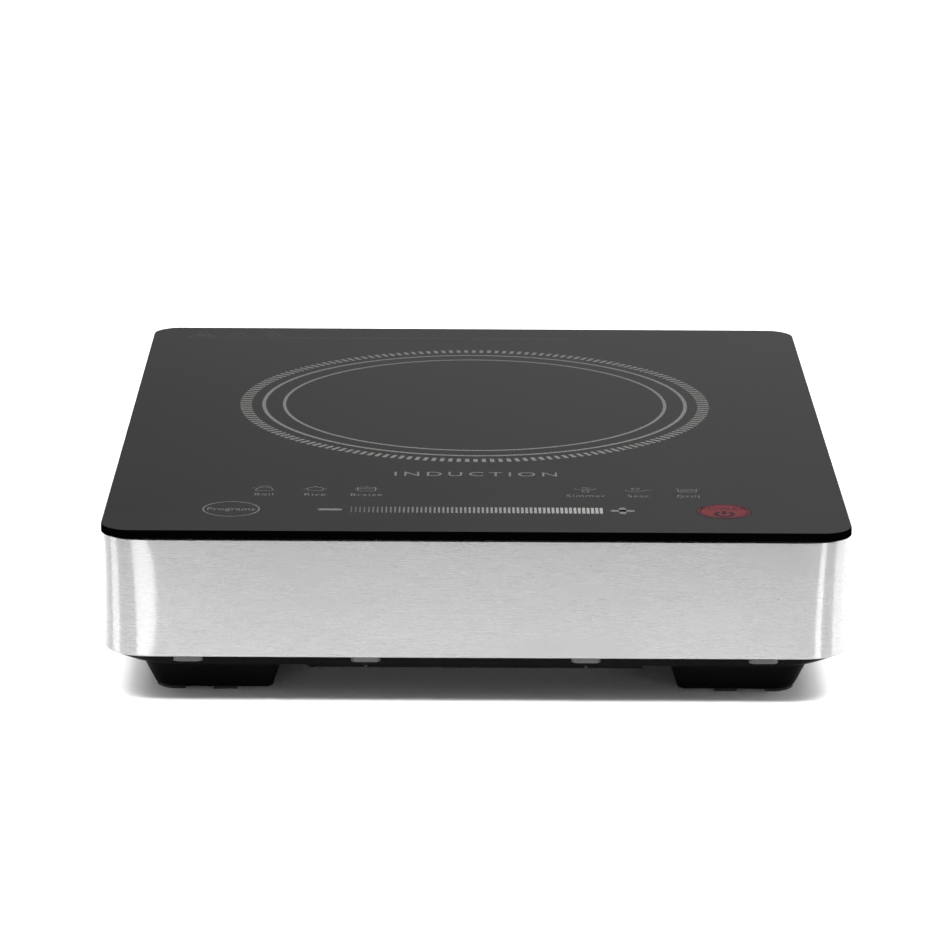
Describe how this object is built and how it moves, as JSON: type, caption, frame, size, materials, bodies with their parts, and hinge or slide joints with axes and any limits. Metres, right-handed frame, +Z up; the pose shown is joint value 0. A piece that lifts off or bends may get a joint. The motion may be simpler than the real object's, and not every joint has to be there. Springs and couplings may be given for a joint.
{
  "type": "induction cooktop",
  "caption": "Table-top induction cooktop: black glass with a printed zone and touch keys, brushed steel band, black pan with moulded feet, coil, boards and fan inside.",
  "frame": {"origin": "on the surface the feet stand on, below the centre of the glass", "axes": "+X to the right seen from the front, +Y towards the back, +Z up"},
  "size_m": [0.34, 0.4133, 0.0815],
  "materials": {
    "black_glass": "printed black ceramic glass, glossy",
    "silicone": "matt silicone",
    "brushed_stainless": "horizontal brushing",
    "bare_steel": "bare sheet",
    "pan_plastic": "black, lightly grained",
    "foot_rubber": "matt",
    "grey_nylon": "satin moulded",
    "zinc_screw": "zinc plated",
    "black_nylon": "black nylon",
    "mica": "flaky mica sheet",
    "copper": "enamelled copper",
    "lead_sleeve": "silicone sleeve",
    "ferrite": "sintered ferrite",
    "carrier_plastic": "glass-filled, off-white",
    "sensor_ceramic": "white ceramic",
    "bronze": "sintered bronze",
    "circuit_board": "green solder mask",
    "heat_sink_alloy": "plain extrusion",
    "package_black": "moulded epoxy",
    "capacitor_case": "moulded box",
    "transformer_tape": "yellow tape on a core",
    "fuse_glass": "clear tube with caps",
    "tinned_brass": "tinned",
    "sensing_foam": "conductive foam",
    "led_lens": "clear lens",
    "connector_white": "white nylon",
    "ribbon_grey": "grey ribbon"
  },
  "bodies": {
    "housing": {"glass_top": "black_glass", "glass_gasket": "silicone", "steel_band": "brushed_stainless", "band_seam_strip": "bare_steel", "base_pan": "pan_plastic", "foot_pads": "foot_rubber", "flange_spacers": "grey_nylon", "case_screws": "zinc_screw", "cord_bushing": "black_nylon", "earth_terminal": "zinc_screw", "mica_sheet": "mica", "litz_coil": "copper", "ferrite_bars": "ferrite", "coil_carrier": "carrier_plastic", "sensor_holder": "silicone", "temperature_sensor": "sensor_ceramic", "coil_springs": "zinc_screw", "coil_screws": "zinc_screw", "coil_leads": "lead_sleeve", "fan_frame": "black_nylon", "fan_bearing": "bronze", "fan_stator": "copper", "fan_screws": "zinc_screw", "air_guide": "carrier_plastic", "power_board": "circuit_board", "board_screws": "zinc_screw", "heat_sink": "heat_sink_alloy", "igbt_transistors": "package_black", "bridge_rectifier": "package_black", "resonance_capacitor": "capacitor_case", "filter_capacitor": "capacitor_case", "mains_capacitor": "capacitor_case", "current_transformer": "package_black", "choke_core": "ferrite", "choke_winding": "copper", "varistor": "capacitor_case", "mains_fuse": "fuse_glass", "fuse_clips": "tinned_brass", "mains_terminals": "tinned_brass", "supply_transformer": "transformer_tape", "supply_capacitors": "capacitor_case", "controller_chip": "package_black", "buzzer": "package_black", "coil_terminals": "tinned_brass", "touch_board": "circuit_board", "touch_pads": "sensing_foam", "touch_board_bracket": "carrier_plastic", "touch_board_screws": "zinc_screw", "indicator_leds": "led_lens", "board_connectors": "connector_white", "ribbon_cable": "ribbon_grey"},
    "rotor": {"fan_rotor": "black_nylon", "fan_magnet": "ferrite", "fan_shaft": "zinc_screw"}
  },
  "joints": [
    {"name": "fan_spin", "type": "hinge", "parent": "housing", "child": "rotor", "pos_m": [0, 0.1, 0.035], "axis": [0, 0, 1], "continuous": true}
  ]
}
